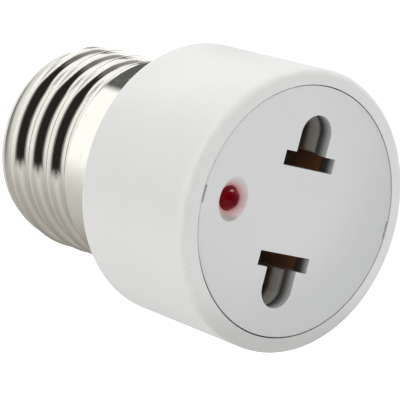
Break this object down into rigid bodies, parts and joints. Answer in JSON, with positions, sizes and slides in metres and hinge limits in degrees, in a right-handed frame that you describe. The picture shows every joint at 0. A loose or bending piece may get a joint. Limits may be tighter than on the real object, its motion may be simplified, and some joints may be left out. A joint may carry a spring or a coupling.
{
  "type": "lamp_socket_adapter",
  "caption": "Adapter that screws into a lamp holder and gives an outlet for a two-pin plug: white round body, grey face plate with T-shaped slots, red indicator lamp, nickel screw cap.",
  "frame": {"origin": "On the adapter's axis, in the plane of the body's shoulder, where the screw shell meets the body: the point of the mount e27_screw_cap.", "axes": "+Y runs along the axis out of the screw cap, -Y out of the outlet face; Z runs along the line through the two slots; the indicator lamp is on the -X side. The adapter keeps this frame because it hangs in a lamp holder by its screw cap, and on a table it would roll."},
  "size_m": [0.036, 0.0484, 0.036],
  "materials": {
    "white_plastic": "moulded satin white",
    "plate_plastic": "moulded satin pale grey",
    "nickel": "bright nickel plate on rolled sheet",
    "black_insulator": "fired black insulator",
    "tip_brass": "stamped brass",
    "red_lens": "clear red resin",
    "tinned_lead": "tinned wire",
    "diode_black": "moulded black",
    "resistor_tan": "tan lacquer",
    "sleeve_black": "black sleeving",
    "contact_brass": "spring brass strip",
    "copper": "bare copper",
    "brown_insulation": "brown insulation",
    "blue_insulation": "blue insulation",
    "solder": "dull solder"
  },
  "bodies": {
    "root": {"body_shell": "white_plastic", "face_plate": "plate_plastic", "screw_shell": "nickel", "cap_insulator": "black_insulator", "centre_contact": "tip_brass", "indicator_lamp": "red_lens", "lamp_leads": "tinned_lead", "protection_diode": "diode_black", "diode_leads": "tinned_lead", "series_resistor": "resistor_tan", "resistor_leads": "tinned_lead", "lead_sleeves": "sleeve_black", "upper_contact": "contact_brass", "lower_contact": "contact_brass", "live_wire_core": "copper", "live_wire": "brown_insulation", "neutral_wire_core": "copper", "neutral_wire": "blue_insulation", "solder_joints": "solder"}
  },
  "joints": []
}
